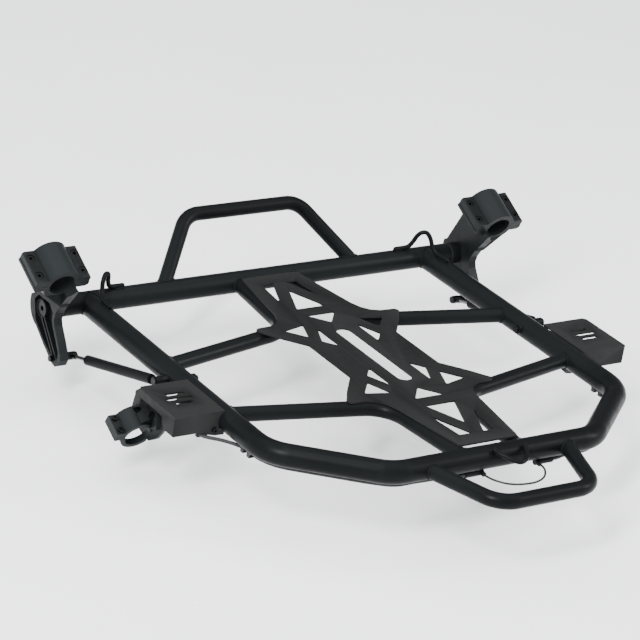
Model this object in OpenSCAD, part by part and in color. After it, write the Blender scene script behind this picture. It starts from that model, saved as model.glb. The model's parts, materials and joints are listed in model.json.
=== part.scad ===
// Tilting rear cargo rack for a utility vehicle's roll cage.
// X runs across the vehicle, -Y is the free end that lifts, +Z is up.
// The origin is the middle of the hinge axis, on the back cross tube's centre line.
// Parts of the right half (+X) are modelled once, and the left half mirrors them.

/* [Main tubes] */
// Outer diameter of the outer frame tubes
frame_od = 38.1; // [36:0.1:40]
// Outer diameter of the braces, the hoop and the handle
brace_od = 25.4; // [22:0.1:27]
// Wall thickness of every tube
tube_wall = 2.1; // [1.5:0.1:3]
// Distance from the middle plane to each side rail
rail_x = 350; // [345:1:355]
// Length of a side rail, up to where the front tube's bends begin
rail_len = 480; // [470:1:490]
// Depth at which the chamfered corners start
shoulder_y = 565; // [555:1:570]
// Depth of the front tube
front_y = 690; // [685:1:695]
// Half width of the straight front run
front_x = 197; // [190:1:205]
// Centre-line radius of the frame bends
frame_bend = 70; // [60:1:80]

/* [Hoop and handle] */
// Half width of the rear hoop at its feet
hoop_foot_x = 202; // [195:1:210]
// Half width of the rear hoop at its top
hoop_top_x = 115; // [105:1:125]
// Height of the rear hoop, along its own plane
hoop_h = 130; // [110:1:150]
// Backward lean of the rear hoop, from vertical
hoop_lean = 42; // [30:1:50]
// Half width of the front handle at its feet
handle_foot_x = 138; // [130:1:145]
// Half width of the front handle at its outer corners
handle_top_x = 92; // [85:1:100]
// Reach of the front handle beyond the front tube
handle_reach = 138; // [120:1:150]
// Centre-line radius of the hoop, handle and brace bends
small_bend = 45; // [35:1:60]

/* [Centre plate] */
// Thickness of the centre plate
plate_t = 3; // [2.5:0.1:4]
// Half length of the long middle slot
slot_half_l = 101; // [80:1:110]
// Half width of the long middle slot
slot_half_w = 14; // [8:0.5:16]
// Corner radius of the plate's outline
plate_corner_r = 6; // [2:0.5:8]
// Corner radius of the plate's cut-outs
cutout_corner_r = 2; // [1:0.5:3]

/* [Cage clamps] */
// Bore of every clamp, for a 1.75 in cage tube
clamp_bore_d = 44.6; // [44.5:0.05:45]
// Length of a rear clamp along its bore
clamp_len = 66; // [60:1:70]
// Width of a rear clamp across its bore
clamp_w = 100; // [96:1:104]
// Outer radius of a rear clamp's arch
arch_r = 32; // [30:0.5:34]
// Thickness of the cap's flange
cap_flange_t = 14; // [12:0.5:15]
// Thickness of the saddle's flange
saddle_flange_t = 10; // [9:0.5:12]
// Downward pitch of the cage tubes, towards the free end
cage_pitch = 27; // [27:1:27]

/* [Hinge] */
// Distance from the middle plane to the end of the back tube
hinge_x = 400; // [400:1:400]
// Thickness of a hinge arm
arm_t = 16; // [14:1:18]
// Outer radius of the hinge arm round the pivot
arm_boss_r = 38; // [36:1:40]
// Radius of the pivot bolt's shoulder
pivot_r = 8; // [7:0.5:9]
// Radial play of every running fit
play = 0.05; // [0.03:0.01:0.1]

/* [Gas struts] */
// Outer radius of a strut's barrel
barrel_r = 8.6; // [8:0.1:9]
// Length of a strut's barrel
barrel_len = 189; // [180:1:192]
// Radius of a strut's rod
rod_r = 3.2; // [3:0.1:4]

/* [Latches] */
// Sheet thickness of the latch boxes
box_t = 3; // [2:0.5:3]
// Outer face of a latch box, from the middle plane
box_x = 451; // [449:1:452]
// Height of a latch box's top face
box_top = 19.2; // [19.2:0.1:20]
// Angle by which a latch hook is turned back when released
hook_release = 30; // [28:1:32]
// Radius of a striker pin
striker_r = 5; // [4.5:0.1:5]

/* [Hidden] */
$fn = 48;

// Finish colours
powder = [0.07, 0.075, 0.08];
cast = [0.055, 0.058, 0.062];
sheet = [0.16, 0.165, 0.17];
dark_steel = [0.1, 0.1, 0.11];
bright_steel = [0.55, 0.56, 0.58];
nylon = [0.03, 0.03, 0.03];

// Radii derived from the tube sizes
frame_r = frame_od / 2;
brace_r = brace_od / 2;
bore_r = clamp_bore_d / 2;
// A hair's gap between two welded or bolted pieces that touch along a curve
seat = 0.05;
cut = 1;

// Middle of a rear clamp's bore
clamp_pos = [447, -45.6, 92];
// Distance from there to the latch clamp's front end, down the same cage tube
latch_along = 342;
latch_pos = clamp_pos - latch_along * [0, cos(cage_pitch), sin(cage_pitch)];
latch_len = 39;
latch_ring_r = 29;
latch_split_z = 4;
// Inner face of a hinge arm
arm_x = 420;
// Floor of the pocket in a hinge arm's outer face
pocket_x = 428;
// Striker plate's inner and outer faces, just inboard of the cage tube
plate_in_x = 418.6;
plate_out_x = 424.6;
// Outer face of the latch clamp's pad
pad_x = 431;
// Strut joints: on the rail, and on the hinge arm
strut_top = [386, -296, -1];
strut_low = [398, -50, -69];
strut_len = norm(strut_low - strut_top);
barrel_start = 17;
// Latch hook pivot and striker pin, as [y, z]
hook_pivot = [-390, -2];
striker = [-380, -27];
hook_x = 385;
hook_t = 8;
// Room round the striker pin in the hook's throat
throat_play = 1.2;
// Middle of the release loop, across the rack
loop_mid_x = 29.5;
guide_z = -frame_r - 5.6;

// ---------------------------------------------------------------- helpers

// Runs its children on both sides of the middle plane
module both() {
    children();
    mirror([1, 0, 0]) children();
}

module left() {
    mirror([1, 0, 0]) children();
}

// A cylinder from point a to point b
module rod(a, b, r) {
    v = b - a;
    l = norm(v);
    translate(a) rotate([0, acos(v[2] / l), atan2(v[1], v[0])]) cylinder(r = r, h = l);
}

// A cylinder along X between two X positions, through the point [y, z]
module x_rod(x0, x1, yz, r) {
    translate([x0, yz[0], yz[1]]) rotate([0, 90, 0]) cylinder(r = r, h = x1 - x0);
}

// A cylinder along Y between two Y positions, through the point [x, z]
module y_rod(y0, y1, xz, r) {
    translate([xz[0], y0, xz[1]]) rotate([-90, 0, 0]) cylinder(r = r, h = y1 - y0);
}

// Extrudes a [y, z] outline along X
module along_x(x0, x1) {
    translate([x0, 0, 0]) rotate([90, 0, 90]) linear_extrude(x1 - x0) children();
}

// Extrudes an [x, z] outline along Y
module along_y(y0, y1) {
    translate([0, y1, 0]) rotate([90, 0, 0]) linear_extrude(y1 - y0) children();
}

function unit(v) = v / norm(v);

// Interior angle of the corner a-b-c
function corner_angle(a, b, c) = acos(unit(a - b) * unit(c - b));

// Length that a bend of radius r takes off each leg of its corner
function bend_cut(p, i, r) =
    (i == 0 || i == len(p) - 1) ? 0 : r / tan(corner_angle(p[i - 1], p[i], p[i + 1]) / 2);

// Each bend overlaps the straight runs by this angle, and is this much fatter than they are
bend_overlap = 0.5;
bend_swell = 0.04;

// A round bar in the XY plane along corners p, with bends of radius bend
module bent_bar(p, bend, r) {
    for (i = [0 : len(p) - 2]) {
        d = unit(p[i + 1] - p[i]);
        a = p[i] + d * bend_cut(p, i, bend);
        b = p[i + 1] - d * bend_cut(p, i + 1, bend);
        rod([a[0], a[1], 0], [b[0], b[1], 0], r);
    }
    for (i = [1 : len(p) - 2]) {
        t = corner_angle(p[i - 1], p[i], p[i + 1]);
        inward = unit(unit(p[i - 1] - p[i]) + unit(p[i + 1] - p[i]));
        mid = p[i] + inward * bend / sin(t / 2);
        turn = 180 - t + 2 * bend_overlap;
        translate([mid[0], mid[1], 0])
            rotate([0, 0, atan2(-inward[1], -inward[0]) - turn / 2])
                rotate_extrude(angle = turn) translate([bend, 0]) circle(r + bend_swell);
    }
}

// A hollow tube in the XY plane along corners p
module bent_tube(p, bend, r) {
    difference() {
        bent_bar(p, bend, r);
        bent_bar(p, bend, r - tube_wall);
    }
}

// Catmull-Rom point between p[i] and p[i + 1]
function spline_point(p, i, t) =
    let (a = p[max(i - 1, 0)], b = p[i], c = p[i + 1], d = p[min(i + 2, len(p) - 1)])
    0.5 * (2 * b + (c - a) * t + (2 * a - 5 * b + 4 * c - d) * t * t
        + (3 * b - a - 3 * c + d) * t * t * t);

// Smooth path through the points p, with a given number of steps between two points
function spline(p, steps) = [
    for (i = [0 : len(p) - 2], k = [0 : steps - 1]) spline_point(p, i, k / steps),
    p[len(p) - 1],
];

function tangent(p, i) = unit(p[min(i + 1, len(p) - 1)] - p[max(i - 1, 0)]);

// A round cord of radius r along the path p; ref is never parallel to the path
module swept(p, r, sides, ref) {
    rings = [
        for (i = [0 : len(p) - 1])
            let (t = tangent(p, i), n = unit(cross(t, ref)), b = cross(t, n))
            for (k = [0 : sides - 1]) p[i] + r * (n * cos(360 * k / sides) + b * sin(360 * k / sides))
    ];
    n_ring = len(p);
    walls = [
        for (i = [0 : n_ring - 2], k = [0 : sides - 1])
            [i * sides + k, i * sides + (k + 1) % sides,
             (i + 1) * sides + (k + 1) % sides, (i + 1) * sides + k]
    ];
    start_cap = [for (k = [0 : sides - 1]) sides - 1 - k];
    end_cap = [for (k = [0 : sides - 1]) (n_ring - 1) * sides + k];
    polyhedron(rings, concat(walls, [start_cap, end_cap]));
}

// A socket-head screw: head on top of the origin, shank below it
module socket_screw(head_r, head_h, shank_r, shank_l, hex_r) {
    difference() {
        union() {
            cylinder(r = head_r, h = head_h);
            translate([0, 0, -shank_l]) cylinder(r = shank_r, h = shank_l + seat);
        }
        translate([0, 0, head_h / 2]) cylinder(r = hex_r, h = head_h, $fn = 6);
    }
}

// The clamps' own frame: bore along Y, split plane at z = 0
module at_clamp() {
    translate(clamp_pos) rotate([cage_pitch, 0, 0]) children();
}

module at_latch() {
    translate(latch_pos) rotate([cage_pitch, 0, 0]) children();
}

// ---------------------------------------------------------------- frame

module back_tube() {
    color(powder) difference() {
        x_rod(-hinge_x, hinge_x, [0, 0], frame_r);
        x_rod(-hinge_x - cut, hinge_x + cut, [0, 0], frame_r - tube_wall);
    }
}

module rail() {
    color(powder) difference() {
        y_rod(-rail_len, 0, [rail_x, 0], frame_r);
        y_rod(-rail_len - cut, cut, [rail_x, 0], frame_r - tube_wall);
        x_rod(-hinge_x, hinge_x, [0, 0], frame_r);
    }
}

module front_tube() {
    corners = [
        [-rail_x, -rail_len], [-rail_x, -shoulder_y], [-front_x, -front_y],
        [front_x, -front_y], [rail_x, -shoulder_y], [rail_x, -rail_len],
    ];
    color(powder) bent_tube(corners, frame_bend, frame_r);
}

module rear_hoop() {
    corners = [[-hoop_foot_x, 0], [-hoop_top_x, hoop_h], [hoop_top_x, hoop_h], [hoop_foot_x, 0]];
    color(powder) difference() {
        rotate([90 - hoop_lean, 0, 0]) bent_tube(corners, small_bend, brace_r);
        x_rod(-hinge_x, hinge_x, [0, 0], frame_r);
    }
}

module front_handle() {
    far = front_y + handle_reach;
    corners = [
        [-handle_foot_x, -front_y], [-handle_top_x, -far],
        [handle_top_x, -far], [handle_foot_x, -front_y],
    ];
    color(powder) difference() {
        bent_tube(corners, small_bend, brace_r);
        x_rod(-hinge_x, hinge_x, [-front_y, 0], frame_r);
    }
}

// Braces: from the rail, bent at the plate, to the cross tube
plate_mid_y = -front_y / 2;
brace_rail_dy = 89;
brace_knee = [73, 149];
brace_end_x = 53;
brace_bend = 60;

// The back right brace; the others mirror it
module brace() {
    corners = [
        [rail_x, plate_mid_y + brace_rail_dy],
        [brace_knee[0], plate_mid_y + brace_knee[1]],
        [brace_end_x, 0],
    ];
    difference() {
        bent_tube(corners, brace_bend, brace_r);
        y_rod(-rail_len, cut, [rail_x, 0], frame_r);
        x_rod(-hinge_x, hinge_x, [0, 0], frame_r);
    }
}

module front_brace() {
    translate([0, 2 * plate_mid_y, 0]) mirror([0, 1, 0]) brace();
}

// ---------------------------------------------------------------- centre plate

// A quarter of the plate's outline, from the end round to the waist
plate_quarter = [
    [57, 324], [79, 184], [86, 164], [97, 151], [112, 144], [141, 142],
    [146, 135], [122, 101], [89, 61], [89, 50],
];

// Turns a quarter outline into the whole one
function all_quarters(q) = concat(
    q,
    [for (i = [len(q) - 1 : -1 : 0]) [q[i][0], -q[i][1]]],
    [for (p = q) [-p[0], -p[1]]],
    [for (i = [len(q) - 1 : -1 : 0]) [-q[i][0], q[i][1]]]
);

// Triangular windows in one quarter of the plate
corner_windows = [
    [[36, 293], [11, 294], [44, 217]],
    [[101, 121], [54, 133], [72, 87]],
    [[38, 114], [59, 67], [38, 42]],
];
// Triangular windows on the plate's middle line
middle_windows = [
    [[0, 260], [30, 188], [-30, 188]],
    [[0, 127], [30, 163], [-30, 163]],
];

module rounded(p, r) {
    offset(r = r, $fn = 20) offset(delta = -r) polygon(p);
}

module centre_plate() {
    color(sheet) translate([0, plate_mid_y, brace_r + seat]) linear_extrude(plate_t)
        difference() {
            rounded(all_quarters(plate_quarter), plate_corner_r);
            for (sx = [-1, 1], sy = [-1, 1], w = corner_windows)
                scale([sx, sy]) rounded(w, cutout_corner_r);
            for (sy = [-1, 1], w = middle_windows)
                scale([1, sy]) rounded(w, cutout_corner_r);
            for (sy = [-1, 1])
                translate([0, sy * (slot_half_l - slot_half_w)]) circle(slot_half_w);
            square([2 * slot_half_w, 2 * (slot_half_l - slot_half_w)], center = true);
        }
}

// ---------------------------------------------------------------- tie-down hooks

tie_rod_r = 4;
// Height of a tie rod's centre line above a main tube
tie_z = frame_r + tie_rod_r + seat;

corner_hook_points = [
    [280, 0, tie_z], [299, 0, tie_z], [310, -2, 26], [316, -6, 37], [319, -10, 48],
    [324, -15, 56], [332, -20, 57], [338, -25, 48], [341, -30, 35], [344, -38, 26],
    [346, -50, tie_z - 0.3], [348, -72, tie_z],
];

module corner_hook() {
    color(powder) swept(spline(corner_hook_points, 3), tie_rod_r, 14, [-0.6, -0.75, -0.25]);
}

front_tie_points = [
    [-17, -703, 19.4], [-11, -712, 15], [-3, -724, 12], [5, -733, 10], [13, -737, 9],
    [22, -735, 9], [31, -729, 10], [37, -721, 12], [41, -712, 15], [45, -703, 19.4],
];

module front_tie_loop() {
    color(powder) swept(spline(front_tie_points, 3), tie_rod_r, 14, [0, 0, 1]);
}

// ---------------------------------------------------------------- rear clamps and hinge arms

// Screw positions on a rear clamp, as [x, y] in the clamp's frame
clamp_screw_at = [for (sx = [-1, 1], sy = [-1, 1]) [40.5 * sx, 18 * sy]];
clamp_screw_head_r = 6.5;
clamp_screw_head_h = 7;
clamp_screw_r = 4;
counterbore_r = 7.4;

// Cross-section of the cap, with chamfered flange edges
cap_outline = [
    [-50, 0.3], [-50, 11.5], [-47.5, 14], [47.5, 14], [50, 11.5], [50, 0.3],
];
// Cross-section of the saddle's flange
saddle_outline = [
    [-51, -0.3], [-51, -6], [-46, -10], [46, -10], [51, -6], [51, -0.3],
];

module clamp_bore() {
    y_rod(-clamp_len, clamp_len, [0, 0], bore_r);
}

module clamp_cap() {
    color(cast) at_clamp() difference() {
        union() {
            along_y(-clamp_len / 2, clamp_len / 2) polygon(cap_outline);
            intersection() {
                y_rod(-clamp_len / 2, clamp_len / 2, [0, 0], arch_r);
                translate([-arch_r, -clamp_len / 2, 0.3]) cube([2 * arch_r, clamp_len, arch_r]);
            }
        }
        clamp_bore();
        for (p = clamp_screw_at) translate([p[0], p[1], 0]) {
            cylinder(r = clamp_screw_r + play, h = 2 * cap_flange_t);
            translate([0, 0, cap_flange_t - clamp_screw_head_h - 1])
                cylinder(r = counterbore_r, h = cap_flange_t);
        }
    }
}

module clamp_screws() {
    head_z = cap_flange_t - clamp_screw_head_h - 1;
    color(dark_steel) both() at_clamp() for (p = clamp_screw_at)
        translate([p[0], p[1], head_z])
            socket_screw(clamp_screw_head_r, clamp_screw_head_h, clamp_screw_r, 14, 3.4);
}

// Side outline of a hinge arm, as [y, z], from the neck's front down and round
arm_outline = [
    [-86, 66], [-72, 48], [-57, 29], [-46, 11], [-43, -2], [-47, -12], [-63, -34], [-75.5, -54],
    [-77, -62], [-72, -73], [-62, -79], [-52, -77], [-38, -68.5], [-18, -57], [20, -30],
    [32, 10], [16, 40], [2, 67], [-9, 90],
];
// Floor outline of the pocket in the arm's outer face
pocket_outline = [
    [-38, 8], [-37, -4], [-42, -15], [-58, -37], [-68, -53], [-66, -64], [-56, -70],
    [-40, -62.5], [-20, -51], [14, -27], [24, 8], [12, 20], [-24, 20],
];

module arm_pocket() {
    along_x(pocket_x, arm_x + arm_t + cut) difference() {
        polygon(pocket_outline);
        circle(15);
        // Two ribs that run from the pivot to the strut's foot
        for (dy = [-7, 5]) translate([dy, -6]) rotate(226) translate([0, -1.5]) square([90, 3]);
    }
}

module hinge_arm() {
    color(cast) difference() {
        union() {
            along_x(arm_x, arm_x + arm_t) {
                polygon(arm_outline);
                intersection() {
                    circle(arm_boss_r);
                    translate([0, -60]) square([60, 72]);
                }
            }
            // Spacer boss between the arm and the back tube
            x_rod(hinge_x + 3, arm_x, [0, 0], frame_r);
            at_clamp() along_y(-clamp_len / 2, clamp_len / 2) polygon(saddle_outline);
            at_clamp() intersection() {
                y_rod(-clamp_len / 2, clamp_len / 2, [0, 0], arch_r);
                translate([-arch_r, -clamp_len / 2, -arch_r - 0.3])
                    cube([2 * arch_r, clamp_len, arch_r]);
            }
            // Web from the saddle down to the arm
            hull() {
                at_clamp() translate([-26, -clamp_len / 2 + 1, -24])
                    cube([50, clamp_len - 2, 2]);
                translate([arm_x + 1, -60, 28]) cube([arm_t - 2, 80, 2]);
            }
        }
        at_clamp() {
            clamp_bore();
            for (p = clamp_screw_at)
                translate([p[0], p[1], -12]) cylinder(r = clamp_screw_r + play, h = 24);
        }
        x_rod(hinge_x, arm_x + arm_t + cut, [0, 0], pivot_r + 3 + seat);
        arm_pocket();
        x_rod(pocket_x, arm_x + arm_t + cut, [0, 0], 14);
        x_rod(arm_x - cut, arm_x + arm_t, [strut_low[1], strut_low[2]], 3 + play);
    }
}

module hinge_bushes() {
    color(nylon) both() difference() {
        union() {
            x_rod(hinge_x + 0.4, hinge_x + 3, [0, 0], frame_r - 1);
            x_rod(hinge_x + 2, pocket_x, [0, 0], pivot_r + 3);
        }
        x_rod(hinge_x - cut, pocket_x + cut, [0, 0], pivot_r + play);
    }
}

module tube_plugs() {
    color(dark_steel) both() difference() {
        x_rod(hinge_x - 34, hinge_x, [0, 0], frame_r - tube_wall - seat);
        x_rod(hinge_x - 35, hinge_x + cut, [0, 0], 6 + play);
    }
}

module pivot_bolts() {
    head = pocket_x + 0.5;
    color(dark_steel) both() difference() {
        union() {
            x_rod(hinge_x - 30, hinge_x + cut, [0, 0], 6);
            x_rod(hinge_x + 0.05, head + seat, [0, 0], pivot_r);
            x_rod(head, head + 6, [0, 0], 13);
        }
        x_rod(head + 2, head + 7, [0, 0], 5, $fn = 6);
    }
}

// Bolt through the foot of the arm that holds the strut's stud
module stud_nuts() {
    color(dark_steel) both() translate([arm_x + arm_t + seat, strut_low[1], strut_low[2]])
        rotate([0, 90, 0]) union() {
            cylinder(r = 6.4, h = 1.2);
            cylinder(r = 5.4, h = 4.5, $fn = 6);
            translate([0, 0, -12]) cylinder(r = 3, h = 12 + seat);
        }
}

// ---------------------------------------------------------------- gas struts

// A frame with its origin at the rail joint and +Z towards the arm joint
module at_strut() {
    v = strut_low - strut_top;
    translate(strut_top) rotate([0, acos(v[2] / strut_len), atan2(v[1], v[0])]) children();
}

module rail_studs() {
    color(dark_steel) both() difference() {
        union() {
            x_rod(rail_x + frame_r - 2, strut_top[0] + 7, [strut_top[1], strut_top[2]], 4);
            x_rod(rail_x + frame_r + seat, strut_top[0] - 6.2, [strut_top[1], strut_top[2]], 7);
            x_rod(strut_top[0] + 6.3, strut_top[0] + 9, [strut_top[1], strut_top[2]], 6.5);
        }
        y_rod(-rail_len, 0, [rail_x, 0], frame_r + seat);
    }
}

// Nut on the rail's inner side, on the end of each stud
module rail_nuts() {
    at = [strut_top[1] - 16, 2];
    color(powder) both() difference() {
        union() {
            x_rod(rail_x - frame_r - 4, rail_x - frame_r + 3, at, 9);
            x_rod(rail_x - frame_r - 8, rail_x - frame_r - 4, at, 6);
        }
        y_rod(-rail_len, 0, [rail_x, 0], frame_r + seat);
    }
}

module strut_barrel() {
    eye = [strut_top[1], strut_top[2]];
    color(cast) difference() {
        union() {
            at_strut() {
                translate([0, 0, barrel_start]) cylinder(r = barrel_r, h = barrel_len);
                translate([0, 0, 4]) cylinder(r = 4.5, h = barrel_start);
            }
            x_rod(strut_top[0] - 6, strut_top[0] + 6, eye, 8);
        }
        x_rod(strut_top[0] - 9, strut_top[0] + 9, eye, 4 + play);
        at_strut() {
            translate([0, 0, barrel_start + 6]) cylinder(r = barrel_r - 1.2, h = barrel_len - 16);
            translate([0, 0, barrel_start + 7]) cylinder(r = rod_r + play, h = barrel_len);
        }
    }
}

module strut_rod() {
    color(bright_steel) at_strut() {
        translate([0, 0, barrel_start + 14]) cylinder(r = rod_r, h = strut_len - barrel_start - 23);
        translate([0, 0, barrel_start + 10]) cylinder(r = barrel_r - 1.6, h = 8);
    }
}

module strut_socket() {
    color(dark_steel) difference() {
        union() {
            at_strut() translate([0, 0, strut_len - 15]) cylinder(r = 4.6, h = 12);
            x_rod(strut_low[0] - 5.5, strut_low[0] + 5.5, [strut_low[1], strut_low[2]], 7);
        }
        x_rod(strut_low[0] - 7, strut_low[0] + 7, [strut_low[1], strut_low[2]], 4 + play);
        at_strut() translate([0, 0, strut_len - 20]) cylinder(r = rod_r + play, h = 11);
    }
}

// Stud through the socket; its foot faces the hinge arm
module strut_stud() {
    yz = [strut_low[1], strut_low[2]];
    color(dark_steel) union() {
        x_rod(strut_low[0] - 6.5, strut_low[0] + 8, yz, 4);
        x_rod(strut_low[0] - 8.5, strut_low[0] - 6, yz, 6);
        x_rod(strut_low[0] + 6.5, arm_x - 4.5, yz, 6.5);
    }
}

// ---------------------------------------------------------------- latch boxes

box_in_x = 360;
box_back_y = -340;
box_front_y = -454;

module latch_box() {
    rail_clear = frame_r + 0.2;
    color(sheet) difference() {
        union() {
            // Top sheet, with its back outer corner cut off
            translate([0, 0, box_top - box_t]) linear_extrude(box_t) polygon([
                [box_in_x, box_back_y], [box_x - 5, box_back_y], [box_x, box_back_y - 6],
                [box_x, box_front_y], [box_in_x, box_front_y],
            ]);
            // Front flange
            along_y(box_front_y, box_front_y + box_t) polygon([
                [box_in_x, box_top], [box_x, box_top], [box_x - 0.6, -14], [406, -14],
                [388, -19], [372, -23], [rail_x + 6, -23.5], [rail_x + 6, 0],
            ]);
            // Outer flange, notched over the striker plate
            along_x(box_x - box_t, box_x) polygon([
                [box_front_y + 0.8, box_top], [box_front_y + 0.8, -14], [-424, -14], [-416, 5],
                [-352, 5], [-348, -8], [box_back_y + 6, -8], [box_back_y + 6, 10],
                [box_back_y - 5, box_top],
            ]);
            // Back flange
            along_y(box_back_y - box_t, box_back_y) polygon([
                [box_in_x, box_top], [box_x - 6, box_top], [box_x - 6, -6], [402, -6],
                [402, 10], [rail_x + 14, 10],
            ]);
        }
        y_rod(-rail_len, 0, [rail_x, 0], rail_clear);
        // Three drain slots in the top
        translate([407, -394, 0]) for (k = [-1, 0, 1])
            translate([0, 15 * k, 0]) linear_extrude(30) hull() for (s = [-1, 1])
                translate([s * (k == 0 ? 20 : 13), 0]) circle(4, $fn = 24);
        // Hole for the cover's screw
        y_rod(box_front_y - cut, box_front_y + 5, [375, -13], 3 + play);
    }
}

module box_screws() {
    color(dark_steel) both() translate([375, box_front_y - seat, -13]) rotate([90, 0, 0])
        socket_screw(5, 3.5, 3, 14, 2.6);
}

// ---------------------------------------------------------------- latches

module latch_bracket() {
    color(dark_steel) difference() {
        union() {
            // Plate that carries the hook's pin
            along_x(hook_x - 5, hook_x - 1) polygon([
                [-448, -10], [-448, 6], [-404, 14], [-352, 14], [-352, -10],
                [-374, -14], [-400, -14], [-424, -26], [-444, -26],
            ]);
            // Foot welded to the rail
            translate([rail_x + 10, -448, -4]) cube([hook_x - rail_x - 12, 96, 8]);
            // Lug for the cover's screw
            translate([368, -450, -20]) cube([hook_x - 3 - 368, 14, 18]);
            // Stop for the cable housing
            translate([hook_x - 2, -446, -26]) cube([17, 6, 12]);
        }
        y_rod(-rail_len, 0, [rail_x, 0], frame_r + seat);
        x_rod(hook_x - 6, hook_x, hook_pivot, 4 + play);
        y_rod(-451, -430, [375, -13], 3 + play);
        y_rod(-448, -438, [396, -20], 1.4);
    }
}

// Annular sector round the hook's pivot, as a wedge polygon of radius r
function wedge(r, a0, a1) = concat(
    [[0, 0]],
    [for (k = [0 : 4]) let (a = a0 + (a1 - a0) * k / 4) 1.2 * r * [cos(a), sin(a)]]
);

// Hook outline when latched, as [y, z] from its pivot
module hook_outline() {
    s = striker - hook_pivot;
    d = norm(s);
    at = atan2(s[1], s[0]);
    half = asin((striker_r + throat_play) / d);
    inner = d + striker_r + throat_play;
    difference() {
        union() {
            circle(10);
            intersection() {
                circle(inner + 7);
                polygon(wedge(inner + 7, at - 52, at + 7));
            }
        }
        // Throat for the striker
        difference() {
            intersection() {
                circle(inner);
                polygon(wedge(inner, at - half, at + 40));
            }
            circle(10);
        }
    }
}

// At rest the hook is turned back by its release angle
module latch_hook() {
    color(dark_steel) difference() {
        union() {
            translate([0, hook_pivot[0], hook_pivot[1]]) rotate([-hook_release, 0, 0])
                along_x(hook_x, hook_x + hook_t) hook_outline();
            // Lug for the release cable
            x_rod(hook_x + hook_t - cut, hook_x + 14, [-409, -20], 2.5);
        }
        x_rod(hook_x - cut, hook_x + hook_t + cut, hook_pivot, 4 + play);
    }
}

module hook_pins() {
    color(bright_steel) both() {
        x_rod(hook_x - 5, hook_x + 16, hook_pivot, 4);
        x_rod(hook_x + 16, hook_x + 19, hook_pivot, 7);
    }
}

module hook_springs() {
    color(bright_steel) both() for (k = [0 : 3])
        translate([hook_x + hook_t + 1.4 + 1.85 * k, hook_pivot[0], hook_pivot[1]])
            rotate([0, 90, 0]) rotate_extrude() translate([5.6, 0]) circle(0.9);
}

// ---------------------------------------------------------------- latch clamps and strikers

// Outline of the plate and of the clamp's pad, as [y, z]
striker_plate_outline = [
    [-289, -44], [-293, -24], [-323, -17], [-365, -14], [-386, -15], [-392, -21], [-392, -33],
    [-387, -39], [-379, -50], [-369, -63], [-349, -76], [-331, -74], [-303, -64],
];
// Gap above the clamp's ring that lightens the plate
striker_window = [[-301, -46], [-313, -39], [-322, -44], [-317, -62], [-307, -61]];
striker_screw_at = [[-337, -25], [-362, -22]];

module striker_plate() {
    color(cast) difference() {
        along_x(plate_in_x, plate_out_x) polygon(striker_plate_outline);
        along_x(plate_in_x - cut, plate_out_x + cut) polygon(striker_window);
        for (p = striker_screw_at) x_rod(plate_in_x - cut, plate_out_x + cut, p, 3 + play);
        x_rod(plate_in_x - cut, plate_out_x + cut, striker, striker_r + seat);
    }
}

module striker_pin() {
    color(bright_steel) union() {
        x_rod(hook_x + 1, plate_out_x, striker, striker_r);
        // Collar that sits on the plate's inner face
        x_rod(plate_in_x - 1.6, plate_in_x - seat, striker, striker_r + 2.5);
    }
}

module striker_screws() {
    color(dark_steel) both() for (p = striker_screw_at)
        translate([pad_x + seat, p[0], p[1]]) rotate([0, 90, 0]) socket_screw(5, 4, 3, 12, 2.6);
}

// Takes away what would reach into the striker plate
module beside_plate() {
    translate([hinge_x, -400, -120]) cube([plate_out_x + seat - hinge_x, 150, 150]);
}

// Pad of the latch clamp, bolted to the striker plate
latch_pad = [
    [-303, -27], [-303, -21], [-323, -17], [-365, -14], [-375, -21], [-375, -44],
    [-349, -52], [-323, -39],
];

module latch_clamp() {
    color(cast) difference() {
        union() {
            along_x(plate_out_x + seat, pad_x) polygon(latch_pad);
            at_latch() {
                intersection() {
                    y_rod(0, latch_len, [0, 0], latch_ring_r);
                    translate([-latch_ring_r, 0, latch_split_z + 0.2])
                        cube([2 * latch_ring_r, latch_len, latch_ring_r]);
                }
                translate([22, 0, latch_split_z + 0.2]) cube([19, latch_len, 8]);
                // Web from the ring's top to the pad
                hull() {
                    translate([-16, 4, 24]) cube([20, latch_len - 6, 4]);
                    translate([-21.5, 6, 36]) cube([5, latch_len - 4, 4]);
                }
            }
        }
        at_latch() {
            y_rod(-60, 90, [0, 0], bore_r);
            for (y = [8, 31]) translate([33, y, -10]) cylinder(r = 3 + play, h = 40);
        }
        beside_plate();
        for (p = striker_screw_at) {
            x_rod(plate_in_x, pad_x + cut, p, 3 + play);
            x_rod(pad_x, pad_x + 20, p, 6);
        }
    }
}

module latch_strap() {
    color(cast) difference() {
        at_latch() union() {
            intersection() {
                y_rod(0, 12, [0, 0], latch_ring_r);
                translate([-latch_ring_r, 0, -latch_ring_r])
                    cube([2 * latch_ring_r, 12, latch_ring_r + latch_split_z - 0.2]);
            }
            translate([22, 0, latch_split_z - 8]) cube([19, latch_len, 7.8]);
        }
        at_latch() {
            y_rod(-60, 90, [0, 0], bore_r);
            for (y = [8, 31]) translate([33, y, -10]) cylinder(r = 3 + play, h = 40);
        }
        beside_plate();
    }
}

module latch_clamp_screws() {
    color(dark_steel) both() at_latch() for (y = [8, 31])
        translate([33, y, latch_split_z + 8.25]) socket_screw(5, 4, 3, 14, 2.6);
}

// ---------------------------------------------------------------- release cable

// Route of the loop in front of the front tube, from one guide round to the other
loop_points = [
    [-26, -693, guide_z], [-26, -704, guide_z], [-24, -716, guide_z], [-18, -728, guide_z],
    [-7, -740, guide_z], [8, -747, guide_z], [24, -750, guide_z], [40, -750, guide_z],
    [56, -745, guide_z], [70, -735, guide_z], [80, -722, guide_z], [84, -712, guide_z],
    [85, -703, guide_z], [85, -693, guide_z],
];
loop_r = 1.75;

module release_loop() {
    color(nylon) swept(spline(loop_points, 2), loop_r, 8, [0, 0, 1]);
}

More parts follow.
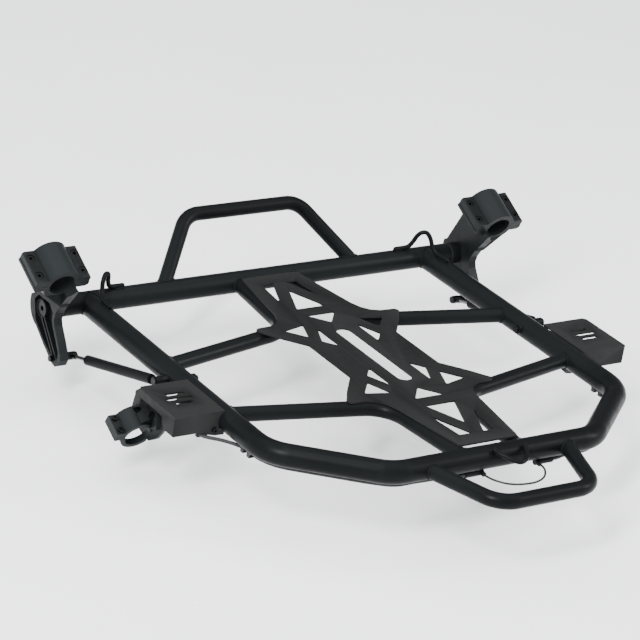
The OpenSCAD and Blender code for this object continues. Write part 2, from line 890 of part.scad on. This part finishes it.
// Elbow guides under the front tube, one at each end of the loop
module cable_guides() {
    color(cast) translate([loop_mid_x, 0, 0]) both() difference() {
        union() {
            x_rod(52, 86, [-692, guide_z], 5.5);
            y_rod(-702, -692, [loop_mid_x + 26, guide_z], 4);
        }
        y_rod(-703, -691, [loop_mid_x + 26, guide_z], 2.2);
    }
}

// Housing from a guide, under the tubes, to its latch
housing_z = -frame_r - 3.1;
left_housing_points = [
    [-56.6, -692, guide_z], [-75, -692, guide_z], [-110, -691, -23], [-150, -690, housing_z],
    [-190, -688, housing_z], [-225, -667, housing_z], [-262, -637, housing_z],
    [-300, -606, housing_z], [-332, -577, housing_z], [-347, -548, housing_z],
    [-350, -520, housing_z], [-355, -494, -23], [-372, -474, -21.5], [-390, -461, -20],
    [-396, -452, -20], [-396, -446.1, -20],
];
right_housing_points = concat(
    [[115.6, -692, guide_z], [126, -692, guide_z]],
    [for (i = [3 : len(left_housing_points) - 1])
        [-left_housing_points[i][0], left_housing_points[i][1], left_housing_points[i][2]]]
);

module cable_housing_left() {
    color(nylon) swept(spline(left_housing_points, 2), 3, 8, [0, 0, 1]);
}

module cable_housing_right() {
    color(nylon) swept(spline(right_housing_points, 2), 3, 8, [0, 0, 1]);
}

// Clips that hold the housings under the rails
module cable_clips() {
    color(nylon) both() for (y = [-510, -528]) difference() {
        translate([rail_x - 6, y - 4, housing_z - 4.5]) cube([14, 8, 9.5]);
        translate([rail_x - 5, y - 5, housing_z - 3.4]) cube([12, 10, 6.8]);
        y_rod(y - 5, y + 5, [rail_x, 0], frame_r + seat);
    }
}

// Inner wires between the housings' ends and the hooks' lugs
module cable_ends() {
    color(bright_steel) both() {
        y_rod(-445, -416, [396, -20], 0.9);
        y_rod(-416.5, -412.2, [396, -20], 2.6);
    }
}

// ---------------------------------------------------------------- nodes

left() hinge_arm();  // hinge_arm_left
hinge_arm();  // hinge_arm_right
left() clamp_cap();  // clamp_cap_left
clamp_cap();  // clamp_cap_right
clamp_screws();
hinge_bushes();
stud_nuts();
left() latch_clamp();  // latch_clamp_left
latch_clamp();  // latch_clamp_right
left() latch_strap();  // latch_strap_left
latch_strap();  // latch_strap_right
latch_clamp_screws();
left() striker_plate();  // striker_plate_left
striker_plate();  // striker_plate_right
left() striker_pin();  // striker_pin_left
striker_pin();  // striker_pin_right
striker_screws();
back_tube();
left() rail();  // rail_left
rail();  // rail_right
front_tube();
rear_hoop();
front_handle();
color(powder) left() brace();  // brace_back_left
color(powder) brace();  // brace_back_right
color(powder) left() front_brace();  // brace_front_left
color(powder) front_brace();  // brace_front_right
centre_plate();
left() corner_hook();  // corner_hook_left
corner_hook();  // corner_hook_right
front_tie_loop();
tube_plugs();
pivot_bolts();
left() latch_box();  // latch_box_left
latch_box();  // latch_box_right
box_screws();
left() latch_bracket();  // latch_bracket_left
latch_bracket();  // latch_bracket_right
hook_pins();
hook_springs();
cable_guides();
cable_housing_left();
cable_housing_right();
cable_clips();
rail_studs();
rail_nuts();
left() latch_hook();  // latch_hook_left
latch_hook();  // latch_hook_right
release_loop();
cable_ends();
left() strut_barrel();  // strut_barrel_left
strut_barrel();  // strut_barrel_right
left() strut_rod();  // strut_rod_left
strut_rod();  // strut_rod_right
left() strut_socket();  // strut_socket_left
strut_socket();  // strut_socket_right
left() strut_stud();  // strut_stud_left
strut_stud();  // strut_stud_right
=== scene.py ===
"""The looks of a tilting rear cargo rack: satin black powder coat, welds, cables and fasteners."""
import json
import math

import bmesh
import bpy
from mathutils import Matrix, Vector


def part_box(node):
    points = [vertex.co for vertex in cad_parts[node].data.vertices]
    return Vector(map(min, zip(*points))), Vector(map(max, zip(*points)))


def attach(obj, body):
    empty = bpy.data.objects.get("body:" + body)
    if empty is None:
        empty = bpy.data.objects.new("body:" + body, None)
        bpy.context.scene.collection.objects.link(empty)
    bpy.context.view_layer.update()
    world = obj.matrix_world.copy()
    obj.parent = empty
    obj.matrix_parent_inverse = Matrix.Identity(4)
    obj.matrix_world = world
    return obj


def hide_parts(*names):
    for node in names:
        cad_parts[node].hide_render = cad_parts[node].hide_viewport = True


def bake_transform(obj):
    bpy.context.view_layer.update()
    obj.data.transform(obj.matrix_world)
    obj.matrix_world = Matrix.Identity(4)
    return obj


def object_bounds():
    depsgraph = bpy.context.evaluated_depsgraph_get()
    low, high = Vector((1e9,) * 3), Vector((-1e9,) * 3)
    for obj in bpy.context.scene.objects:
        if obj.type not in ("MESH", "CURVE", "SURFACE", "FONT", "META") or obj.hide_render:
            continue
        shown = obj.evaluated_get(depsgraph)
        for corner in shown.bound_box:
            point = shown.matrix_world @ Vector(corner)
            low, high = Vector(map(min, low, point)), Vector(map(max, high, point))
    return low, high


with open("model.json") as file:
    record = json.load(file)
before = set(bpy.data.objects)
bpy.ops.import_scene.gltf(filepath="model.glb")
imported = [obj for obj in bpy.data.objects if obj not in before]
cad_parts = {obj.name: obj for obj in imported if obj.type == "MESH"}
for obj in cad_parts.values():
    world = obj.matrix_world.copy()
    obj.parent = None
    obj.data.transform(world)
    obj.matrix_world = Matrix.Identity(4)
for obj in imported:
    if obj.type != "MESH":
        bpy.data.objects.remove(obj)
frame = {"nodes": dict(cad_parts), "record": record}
cad_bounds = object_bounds()
MM = 0.001
X = Vector((1, 0, 0))
Y = Vector((0, 1, 0))
SIDES = (("left", -1), ("right", 1))

# ---------------------------------------------------------------- sizes of the frame's tubes

FRAME_R = 19.05 * MM
BRACE_R = 12.7 * MM
RAIL_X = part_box("rail_right")[1][0] - FRAME_R
FRONT_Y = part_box("front_tube")[0][1] + FRAME_R
MID_Y = FRONT_Y / 2
CENTRE = Vector((0, MID_Y, 0))

# ---------------------------------------------------------------- camera

AZIMUTH = math.radians(-37.13)
ELEVATION = math.radians(23.94)
ROLL = math.radians(8.754)
DISTANCE = 4.983
SHIFT_RIGHT = -0.0867
SHIFT_UP = 0.0699
FOCAL_MM = 169.5
SENSOR_MM = 36
FARTHEST = 100


def add_camera():
    """The camera stands off the rack's front left corner, tilted a little."""
    back = Vector((
        math.sin(AZIMUTH) * math.cos(ELEVATION),
        -math.cos(AZIMUTH) * math.cos(ELEVATION),
        math.sin(ELEVATION),
    ))
    level = Vector((0, 0, 1)).cross(back).normalized()
    rise = back.cross(level)
    right = level * math.cos(ROLL) + rise * math.sin(ROLL)
    up = rise * math.cos(ROLL) - level * math.sin(ROLL)
    data = bpy.data.cameras.new("camera")
    data.sensor_width = SENSOR_MM
    data.lens = FOCAL_MM
    data.clip_end = FARTHEST
    camera = bpy.data.objects.new("camera", data)
    bpy.context.collection.objects.link(camera)
    place = CENTRE + back * DISTANCE + right * SHIFT_RIGHT + up * SHIFT_UP
    turn = Matrix((right, up, back)).transposed().to_4x4()
    camera.matrix_world = Matrix.Translation(place) @ turn
    bpy.context.scene.camera = camera


add_camera()

# ---------------------------------------------------------------- mesh helpers


def new_mesh(name, bm, material, smooth=True):
    """Turns a bmesh into a shown object with one material."""
    bmesh.ops.recalc_face_normals(bm, faces=bm.faces)
    mesh = bpy.data.meshes.new(name)
    bm.to_mesh(mesh)
    bm.free()
    for face in mesh.polygons:
        face.use_smooth = smooth
    mesh.materials.append(material)
    piece = bpy.data.objects.new(name, mesh)
    bpy.context.collection.objects.link(piece)
    return piece


def frames_along(points, closed=False):
    """A tangent and two side vectors at each point, turned as little as possible."""
    n = len(points)
    tangents = []
    for i in range(n):
        before = points[(i - 1) % n] if closed or i > 0 else points[0]
        after = points[(i + 1) % n] if closed or i < n - 1 else points[-1]
        tangents.append((after - before).normalized())
    side = tangents[0].orthogonal().normalized()
    frames = []
    for t in tangents:
        side = (side - t * side.dot(t)).normalized()
        frames.append((t, side, t.cross(side)))
    return frames


def sweep(bm, points, radius, sides=12, closed=False):
    """Adds a round tube along the points; radius is a number or a function of the point's index."""
    rings = []
    frames = frames_along(points, closed)
    twist = 0.0
    if closed:
        _, last, other = frames[-1]
        first = frames[0][1]
        twist = math.atan2(first.dot(other), first.dot(last))
    for i, (p, (_, a, b)) in enumerate(zip(points, frames)):
        r = radius(i) if callable(radius) else radius
        turn = twist * i / len(points)
        ring = []
        for k in range(sides):
            angle = 2 * math.pi * k / sides + turn
            ring.append(bm.verts.new(p + a * r * math.cos(angle) + b * r * math.sin(angle)))
        rings.append(ring)
    count = len(rings) if closed else len(rings) - 1
    for i in range(count):
        one, two = rings[i], rings[(i + 1) % len(rings)]
        for k in range(sides):
            bm.faces.new((one[k], one[(k + 1) % sides], two[(k + 1) % sides], two[k]))
    if not closed:
        bm.faces.new(list(reversed(rings[0])))
        bm.faces.new(rings[-1])


def spline(points, steps):
    """A Catmull-Rom curve through the points."""
    out = []
    last = len(points) - 1
    for i in range(last):
        a, b = points[max(i - 1, 0)], points[i]
        c, d = points[i + 1], points[min(i + 2, last)]
        for k in range(steps):
            t = k / steps
            out.append(0.5 * (
                2 * b + (c - a) * t + (2 * a - 5 * b + 4 * c - d) * t ** 2
                + (3 * b - a - 3 * c + d) * t ** 3
            ))
    out.append(points[last].copy())
    return out


def mm_points(rows):
    return [Vector(row) * MM for row in rows]


# ---------------------------------------------------------------- materials


class Nodes:
    """A short way to write a node material."""

    def __init__(self, name):
        self.material = bpy.data.materials.new(name)
        self.material.use_nodes = True
        self.tree = self.material.node_tree
        self.shader = self.tree.nodes["Principled BSDF"]
        self.coords = self.tree.nodes.new("ShaderNodeTexCoord").outputs["Object"]

    def link(self, source, target):
        self.tree.links.new(source, target)

    def noise(self, scale, detail=2.0, stretch=None, rough=0.5):
        node = self.tree.nodes.new("ShaderNodeTexNoise")
        node.inputs["Scale"].default_value = scale
        node.inputs["Detail"].default_value = detail
        node.inputs["Roughness"].default_value = rough
        source = self.coords
        if stretch:
            mapping = self.tree.nodes.new("ShaderNodeMapping")
            mapping.inputs["Scale"].default_value = stretch
            self.link(self.coords, mapping.inputs["Vector"])
            source = mapping.outputs["Vector"]
        self.link(source, node.inputs["Vector"])
        return node.outputs["Fac"]

    def ramp(self, source, stops):
        node = self.tree.nodes.new("ShaderNodeValToRGB")
        elements = node.color_ramp.elements
        for element, (place, colour) in zip(elements, (stops[0], stops[-1])):
            element.position = place
            element.color = (*colour, 1)
        for place, colour in stops[1:-1]:
            elements.new(place).color = (*colour, 1)
        self.link(source, node.inputs["Fac"])
        return node.outputs["Color"]

    def spread(self, source, low, high, start=0.3, end=0.7):
        node = self.tree.nodes.new("ShaderNodeMapRange")
        node.inputs["From Min"].default_value = start
        node.inputs["From Max"].default_value = end
        node.inputs["To Min"].default_value = low
        node.inputs["To Max"].default_value = high
        self.link(source, node.inputs["Value"])
        return node.outputs["Result"]

    def mix(self, factor, one, two):
        node = self.tree.nodes.new("ShaderNodeMix")
        node.data_type = "RGBA"
        self.link(factor, node.inputs["Factor"])
        self.link(one, node.inputs["A"])
        node.inputs["B"].default_value = (*two, 1)
        return node.outputs["Result"]

    def bump(self, source, height, strength=1.0, normal=None):
        node = self.tree.nodes.new("ShaderNodeBump")
        node.inputs["Distance"].default_value = height
        node.inputs["Strength"].default_value = strength
        self.link(source, node.inputs["Height"])
        if normal:
            self.link(normal, node.inputs["Normal"])
        return node.outputs["Normal"]

    def shades(self, source, colour, darkest, lightest):
        """A darker to a lighter tint of the colour, across the middle of the source."""
        return self.ramp(source, [(0.3, tint(colour, darkest)), (0.7, tint(colour, lightest))])

    def feed(self, **sources):
        """Wires each source into the shader's input of that name."""
        for key, source in sources.items():
            self.link(source, self.shader.inputs[key.replace("_", " ")])

    def edges(self):
        """How sharply the surface is folded outwards."""
        return self.tree.nodes.new("ShaderNodeNewGeometry").outputs["Pointiness"]

    def set(self, **values):
        for key, value in values.items():
            self.shader.inputs[key.replace("_", " ")].default_value = value
        return self.material


def tint(colour, factor):
    return tuple(min(1.0, c * factor) for c in colour)


def coat(name, colour, rough, peel_mm=0.03, peel_per_m=700, sheen_and_wear_amount=0.3, shine=0.05):
    """Powder coat: orange peel, faint clouding, and edges lightened by their pointiness, a painted
    edge highlight that is partly edge wear.
    """
    n = Nodes(name)
    clouded = n.shades(n.noise(9, 3), colour, 0.82, 1.2)
    # Painted edge highlight, partly wear: folded edges are mixed towards a tint of the colour 3.2
    # times lighter.
    edge_highlight_and_wear = n.spread(n.edges(), 0.0, sheen_and_wear_amount, 0.515, 0.58)
    base = n.mix(edge_highlight_and_wear, clouded, tint(colour, 3.2))
    gloss = n.spread(n.noise(60, 4), rough - 0.05, rough + 0.07)
    peel = n.bump(n.noise(peel_per_m, 2), peel_mm * MM, 0.45)
    grit = n.bump(n.noise(peel_per_m * 4, 1), peel_mm * MM * 0.3, 0.4, peel)
    n.feed(Base_Color=base, Roughness=gloss, Normal=grit)
    return n.set(Specular_IOR_Level=shine)


def cast_coat(name, colour):
    """Coated casting: a coarser grain under the coat."""
    n = Nodes(name)
    mottled = n.shades(n.noise(16, 4), colour, 0.75, 1.25)
    # Painted edge highlight, partly wear: folded edges are mixed towards a tint of the colour 3.5
    # times lighter.
    edge_highlight_and_wear = n.spread(n.edges(), 0.0, 0.45, 0.51, 0.58)
    base = n.mix(edge_highlight_and_wear, mottled, tint(colour, 3.5))
    gloss = n.spread(n.noise(110, 4), 0.3, 0.46)
    grain = n.bump(n.noise(420, 6, rough=0.7), 0.12 * MM, 0.5)
    n.feed(Base_Color=base, Roughness=gloss, Normal=grain)
    return n.set(Specular_IOR_Level=0.07)


def steel(name, colour, rough, stretch, scratch_mm=0.02):
    """Bare or blackened steel with fine grinding marks along one direction."""
    n = Nodes(name)
    marks = n.noise(300, 4, stretch)
    base = n.shades(marks, colour, 0.8, 1.15)
    gloss = n.spread(n.noise(90, 3), rough - 0.07, rough + 0.09)
    n.feed(Base_Color=base, Roughness=gloss, Normal=n.bump(marks, scratch_mm * MM, 0.5))
    return n.set(Metallic=1.0)


def plastic(name, colour, rough):
    """Moulded plastic or cable sheath with a fine matt grain."""
    n = Nodes(name)
    base = n.shades(n.noise(40, 3), colour, 0.8, 1.25)
    gloss = n.spread(n.noise(200, 3), rough - 0.06, rough + 0.08)
    grain = n.bump(n.noise(1500, 3), 0.03 * MM, 0.5)
    n.feed(Base_Color=base, Roughness=gloss, Normal=grain)
    return n.set(Specular_IOR_Level=0.25)


def rippled(name, colour, rough):
    """The coat over a weld bead, rougher in shape than on the tubes."""
    n = Nodes(name)
    base = n.shades(n.noise(120, 3), colour, 0.8, 1.5)
    gloss = n.spread(n.noise(260, 3), rough - 0.05, rough + 0.08)
    spatter = n.bump(n.noise(900, 3), 0.06 * MM, 0.5)
    n.feed(Base_Color=base, Roughness=gloss, Normal=spatter)
    return n.set(Specular_IOR_Level=0.06)


BLACK = (0.0028, 0.0034, 0.0036)
MATERIALS = {
    "powder_coat": coat("powder_coat", BLACK, 0.34),
    "plate_coat": coat(
        "plate_coat", (0.0066, 0.0068, 0.0068), 0.52,
        peel_mm=0.06, peel_per_m=520, sheen_and_wear_amount=0.5, shine=0.06,
    ),
    "cast_coat": cast_coat("cast_coat", (0.0042, 0.005, 0.0053)),
    "strut_coat": coat(
        "strut_coat", (0.003, 0.0033, 0.0036), 0.33,
        peel_mm=0.02, peel_per_m=900, sheen_and_wear_amount=0.2, shine=0.035,
    ),
    "dark_steel": steel("dark_steel", (0.014, 0.0145, 0.015), 0.42, (1, 1, 1)),
    "rod_steel": steel("rod_steel", (0.13, 0.135, 0.14), 0.3, (1, 0.06, 1)),
    "black_plastic": plastic("black_plastic", (0.012, 0.0125, 0.013), 0.5),
    "weld": rippled("weld", BLACK, 0.4),
}

# ---------------------------------------------------------------- release loop

GUIDE_Z = -24.65
LOOP = mm_points([
    (-26, -693, GUIDE_Z), (-26, -704, GUIDE_Z), (-24, -716, GUIDE_Z), (-18, -728, GUIDE_Z),
    (-7, -740, GUIDE_Z), (8, -747, GUIDE_Z), (24, -750, GUIDE_Z), (40, -750, GUIDE_Z),
    (56, -745, GUIDE_Z), (70, -735, GUIDE_Z), (80, -722, GUIDE_Z), (84, -712, GUIDE_Z),
    (85, -703, GUIDE_Z), (85, -693, GUIDE_Z),
])
LOOP_R = 1.75 * MM


def add_release_loop():
    """The coated cable loop, with its ends in their guides."""
    route = spline(LOOP, 8)
    bm = bmesh.new()
    sweep(bm, route, LOOP_R)
    loop = new_mesh("release_cable", bm, MATERIALS["black_plastic"])
    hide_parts("release_loop")
    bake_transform(loop)


add_release_loop()

# ---------------------------------------------------------------- cable housings and tie rods

# The housings run under the front tube and the rails; both are given for the left side
HOUSING_Z = -22.15
HOUSING_R = 3 * MM
LEFT_START = [(-56.6, -692, GUIDE_Z), (-75, -692, GUIDE_Z), (-110, -691, -23)]
RIGHT_START = [(-115.6, -692, GUIDE_Z), (-126, -692, GUIDE_Z)]
SHARED = [
    (-150, -690, HOUSING_Z), (-190, -688, HOUSING_Z), (-225, -667, HOUSING_Z),
    (-262, -637, HOUSING_Z), (-300, -606, HOUSING_Z), (-332, -577, HOUSING_Z),
    (-347, -548, HOUSING_Z), (-350, -520, HOUSING_Z), (-355, -494, -23),
    (-372, -474, -21.5), (-390, -461, -20), (-396, -452, -20), (-396, -446.1, -20),
]
TIE_R = 4 * MM
TIE_Z = 23.1
# From the back tube over to the rail, for the right side
CORNER_HOOK = [
    (280, 0, TIE_Z), (299, 0, TIE_Z), (310, -2, 26), (316, -6, 37), (319, -10, 48),
    (324, -15, 56), (332, -20, 57), (338, -25, 48), (341, -30, 35), (344, -38, 26),
    (346, -50, TIE_Z - 0.3), (348, -72, TIE_Z),
]
TIE_LOOP = mm_points([
    (-17, -703, 19.4), (-11, -712, 15), (-3, -724, 12), (5, -733, 10), (13, -737, 9),
    (22, -735, 9), (31, -729, 10), (37, -721, 12), (41, -712, 15), (45, -703, 19.4),
])


def flip(points):
    return [Vector((-p.x, p.y, p.z)) for p in points]


def add_housing(side, points):
    """A smooth cable housing from its guide to its latch box."""
    route = spline(points, 6)
    bm = bmesh.new()
    sweep(bm, route, HOUSING_R, sides=14)
    piece = new_mesh("housing_" + side, bm, MATERIALS["black_plastic"])
    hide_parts("cable_housing_" + side)
    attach(piece, "rack")


def add_tie_rod(name, node, points):
    """A bent tie-down rod with rounded ends."""
    route = spline(points, 7)
    last = len(route) - 1
    thinned = {0: 0.72, 1: 0.95, last - 1: 0.95, last: 0.72}
    bm = bmesh.new()
    sweep(bm, route, lambda i: TIE_R * thinned.get(i, 1), sides=20)
    piece = new_mesh(name, bm, MATERIALS["powder_coat"])
    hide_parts(node)
    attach(piece, "rack")


def add_routed_pieces():
    hook = mm_points(CORNER_HOOK)
    add_housing("left", mm_points(LEFT_START + SHARED))
    add_housing("right", flip(mm_points(RIGHT_START + SHARED)))
    add_tie_rod("tie_rod_left", "corner_hook_left", flip(hook))
    add_tie_rod("tie_rod_right", "corner_hook_right", hook)
    add_tie_rod("tie_rod_front", "front_tie_loop", TIE_LOOP)


add_routed_pieces()

# ---------------------------------------------------------------- welds

WELD_R = 1.9 * MM
RIPPLE = 2.6 * MM
SADDLE_STEPS = 180
BEAD_STEPS_PER_RIPPLE = 6
BEAD_SIDES = 8


def rippled_radius(i, steps_per_ripple):
    """The bead's radius at its point i: one hump to each ripple."""
    return WELD_R * (0.9 + 0.2 * math.sin(math.pi * ((i / steps_per_ripple) % 1)))


def add_weld_piece(name, points, radius, closed=False):
    """A bead that rides with the rack."""
    bm = bmesh.new()
    sweep(bm, points, radius, BEAD_SIDES, closed)
    weld = new_mesh(name, bm, MATERIALS["weld"])
    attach(weld, "rack")


def saddle(host, branch):
    """The closed line where a branch tube meets a host tube; each is (point, direction, radius)."""
    hp, hd, hr = host
    bp, bd, br = branch
    hd, bd = hd.normalized(), bd.normalized()
    a = bd.orthogonal().normalized()
    b = bd.cross(a)
    points = []
    across_d = bd - hd * bd.dot(hd)
    for k in range(SADDLE_STEPS):
        angle = 2 * math.pi * k / SADDLE_STEPS
        start = bp + a * br * math.cos(angle) + b * br * math.sin(angle) - hp
        across = start - hd * start.dot(hd)
        qa = across_d.dot(across_d)
        qb = 2 * across.dot(across_d)
        qc = across.dot(across) - hr * hr
        t = (-qb + math.sqrt(max(qb * qb - 4 * qa * qc, 0))) / (2 * qa)
        points.append(hp + start + bd * t)
    return points


def add_weld(name, host, branch):
    """A rippled bead of weld round the foot of a branch tube."""
    points = saddle(host, branch)
    length = sum((b - a).length for a, b in zip(points, points[1:] + points[:1]))
    per_ripple = len(points) / round(length / RIPPLE)
    add_weld_piece(name, points, lambda i: rippled_radius(i, per_ripple), closed=True)


def add_bead(name, start, end):
    """A short straight bead of weld with tapered ends."""
    steps = max(8, round((end - start).length / (RIPPLE / BEAD_STEPS_PER_RIPPLE)))

    def radius(i):
        taper = min(1, 0.35 + 0.25 * min(i, steps - i))
        return taper * rippled_radius(i, BEAD_STEPS_PER_RIPPLE)

    add_weld_piece(name, [start.lerp(end, i / steps) for i in range(steps + 1)], radius)


BEAD_OFF = 3.6 * MM
BEAD_WAYS = (("in", -1), ("out", 1))
# The lines that the beads lie beside, from start to end, for the right side
BACK_TIE_LINE = mm_points([(281, 0, 19.3), (298, 0, 19.3)])
RAIL_TIE_LINE = mm_points([(346, -52, 18.7), (348, -71, 18.7)])
# Under the plate the beads lie along the brace's leg, between its knee and the cross tube
PLATE_LEG = mm_points([(68.5, 120, 11.2), (57.8, 240, 11.2)])
PLATE_BEAD_PART = (0.45, 0.75)
PLATE_SPREAD = 1.35
# The front tie loop's two feet
FRONT_TIE_FEET = {"left": -17 * MM, "right": 45 * MM}
FRONT_TIE_LINE = mm_points([(0, -699.5, 17.2), (0, -703.5, 14.2)])


def mirrored(point, s):
    """The point on the right side for s = 1, on the left side for s = -1."""
    return Vector((s * point.x, point.y, point.z))


def add_side_beads(side, s, tag, off):
    """The beads beside one side's tie rod, and beside both its brace legs under the plate."""
    back = [mirrored(p, s) + Y * off for p in BACK_TIE_LINE]
    add_bead(f"weld_tie_back_{tag}_{side}", *back)
    rail = [mirrored(p + X * off, s) for p in RAIL_TIE_LINE]
    add_bead(f"weld_tie_rail_{tag}_{side}", *rail)
    for end, e in (("back", 1), ("front", -1)):
        leg = [p + X * PLATE_SPREAD * off for p in PLATE_LEG]
        leg = [mirrored(Vector((p.x, MID_Y + e * p.y, p.z)), s) for p in leg]
        part = [leg[0].lerp(leg[1], t) for t in PLATE_BEAD_PART]
        add_bead(f"weld_plate_{end}_{tag}_{side}", *part)


def add_short_welds():
    for side, s in SIDES:
        for tag, way in BEAD_WAYS:
            add_side_beads(side, s, tag, way * BEAD_OFF)
    for side, x in FRONT_TIE_FEET.items():
        for tag, way in BEAD_WAYS:
            foot = [p + X * (x + way * BEAD_OFF) for p in FRONT_TIE_LINE]
            add_bead(f"weld_tie_front_{tag}_{side}", *foot)


# The cross tubes, each as a point, a direction and a radius
BACK = (Vector((0, 0, 0)), X, FRAME_R)
FRONT = (Vector((0, FRONT_Y, 0)), X, FRAME_R)
# Where the bent tubes start and which way they leave
HOOP_FOOT_X = 202 * MM
HOOP_TOP_X = 115 * MM
HOOP_HEIGHT = 130 * MM
HOOP_LEAN = math.radians(42)
HANDLE_FOOT_X = 138 * MM
HANDLE_TOP_X = 92 * MM
HANDLE_REACH = 138 * MM
KNEE = (73 * MM, 149 * MM)
BRACE_RAIL_DY = 89 * MM
BRACE_END_X = 53 * MM


def add_welds():
    """The beads round the feet of the rails, the hoop, the handle and the braces."""
    for side, s in SIDES:
        rail = (Vector((s * RAIL_X, 0, 0)), Y, FRAME_R)
        add_weld("weld_rail_" + side, BACK, (rail[0], -Y, FRAME_R))
        lean = Vector((0, math.sin(HOOP_LEAN), math.cos(HOOP_LEAN))) * HOOP_HEIGHT
        leg = lean - X * s * (HOOP_FOOT_X - HOOP_TOP_X)
        add_weld("weld_hoop_" + side, BACK, (X * s * HOOP_FOOT_X, leg, BRACE_R))
        arm = -Y * HANDLE_REACH - X * s * (HANDLE_FOOT_X - HANDLE_TOP_X)
        foot = Vector((s * HANDLE_FOOT_X, FRONT_Y, 0))
        add_weld("weld_handle_" + side, FRONT, (foot, arm, BRACE_R))
        for end, e, cross in (("back", 1, BACK), ("front", -1, FRONT)):
            knee = Vector((s * KNEE[0], MID_Y + e * KNEE[1], 0))
            at_rail = Vector((s * RAIL_X, MID_Y + e * BRACE_RAIL_DY, 0))
            at_cross = Vector((s * BRACE_END_X, cross[0].y, 0))
            add_weld(f"weld_brace_rail_{end}_{side}", rail, (at_rail, knee - at_rail, BRACE_R))
            add_weld(f"weld_brace_end_{end}_{side}", cross, (at_cross, knee - at_cross, BRACE_R))


add_welds()
add_short_welds()

# ---------------------------------------------------------------- finish of the CAD pieces

BEVELS = {
    "hinge_arm": 1.3, "clamp_cap": 1.3, "latch_clamp_left": 0.8, "latch_clamp_right": 0.8,
    "latch_strap": 0.8, "striker_plate": 0.6, "latch_box": 1.4, "centre_plate": 0.35,
    "latch_bracket": 0.5, "latch_hook": 0.6, "stud_nuts": 0.4, "rail_nuts": 0.8,
    "strut_socket": 0.5, "strut_stud": 0.5, "rail_studs": 0.5, "clamp_screws": 0.35,
    "striker_screws": 0.3, "latch_clamp_screws": 0.3, "box_screws": 0.3, "strut_barrel": 0.9,
    "cable_guides": 0.5, "pivot_bolts": 0.6, "hinge_bushes": 0.4, "striker_pin": 0.6,
}


def bevel_width(node):
    for start, width in BEVELS.items():
        if node.startswith(start):
            return width * MM
    return 0


def finish_cad_nodes():
    """Gives each CAD node its material, and rounds the edges that a casting or a sheet rounds."""
    slots = {row["node"]: row["material_slot"] for row in frame["record"]["subparts"]}
    for node, piece in frame["nodes"].items():
        mesh = piece.data
        mesh.materials.clear()
        mesh.materials.append(MATERIALS[slots[node]])
        for face in mesh.polygons:
            face.material_index = 0
        width = bevel_width(node)
        if width:
            flat = piece.modifiers.new("merge_flats", "DECIMATE")
            flat.decimate_type = "DISSOLVE"
            flat.angle_limit = math.radians(1.5)
            bevel = piece.modifiers.new("edges", "BEVEL")
            bevel.width = width
            bevel.segments = 2
            bevel.limit_method = "ANGLE"
            bevel.angle_limit = math.radians(35)
            bevel.harden_normals = True
            shading = piece.modifiers.new("shading", "WEIGHTED_NORMAL")
            shading.weight = 100
            shading.keep_sharp = True


finish_cad_nodes()

# ---------------------------------------------------------------- floor and light

FLOOR_DROP = 0.05


FLOOR_HALF = 30
FLOOR_GREY = (0.94, 0.94, 0.94)


def add_floor():
    bm = bmesh.new()
    bmesh.ops.create_grid(bm, x_segments=1, y_segments=1, size=FLOOR_HALF)
    n = Nodes("floor")
    n.feed(Base_Color=n.shades(n.noise(3, 2), FLOOR_GREY, 0.99, 1.01))
    n.set(Roughness=0.9, Specular_IOR_Level=0.1)
    floor = new_mesh("floor", bm, n.material, smooth=False)
    floor.location.z = cad_bounds[0][2] - FLOOR_DROP


def add_area(name, place, size, watts, aim=(0, -0.35, 0)):
    """A rectangular soft box turned to the rack."""
    data = bpy.data.lights.new(name, "AREA")
    data.shape = "RECTANGLE"
    data.size, data.size_y = size
    data.energy = watts
    light = bpy.data.objects.new(name, data)
    light.location = place
    light.rotation_euler = (Vector(aim) - Vector(place)).to_track_quat("-Z", "Y").to_euler()
    bpy.context.collection.objects.link(light)


# The way that the backdrop is dim: where flat tops would mirror it towards the camera
DIM_SIDE = (0.565, 0.713, 0.416)
DIM_STRENGTH = 0.35
BRIGHT_STRENGTH = 2.0
SKY_COLOUR = (0.95, 0.97, 1, 1)


def add_light():
    world = bpy.data.worlds.new("studio")
    bpy.context.scene.world = world
    world.use_nodes = True
    tree = world.node_tree
    background = tree.nodes["Background"]
    background.inputs["Color"].default_value = SKY_COLOUR
    facing = tree.nodes.new("ShaderNodeVectorMath")
    facing.operation = "DOT_PRODUCT"
    facing.inputs[1].default_value = DIM_SIDE
    direction = tree.nodes.new("ShaderNodeTexCoord").outputs["Generated"]
    tree.links.new(direction, facing.inputs[0])
    strength = tree.nodes.new("ShaderNodeMapRange")
    strength.inputs["From Min"].default_value = 0.3
    strength.inputs["From Max"].default_value = 0.95
    strength.inputs["To Min"].default_value = BRIGHT_STRENGTH
    strength.inputs["To Max"].default_value = DIM_STRENGTH
    tree.links.new(facing.outputs["Value"], strength.inputs["Value"])
    tree.links.new(strength.outputs["Result"], background.inputs["Strength"])
    add_area("top", place=(0, -0.4, 4.0), size=(6, 6), watts=200)
    add_area("left", place=(-3.2, -2.2, 3.0), size=(0.5, 2.2), watts=330)
    add_area("right", place=(3.4, -2.6, 2.2), size=(0.5, 2.2), watts=110)


add_floor()
add_light()
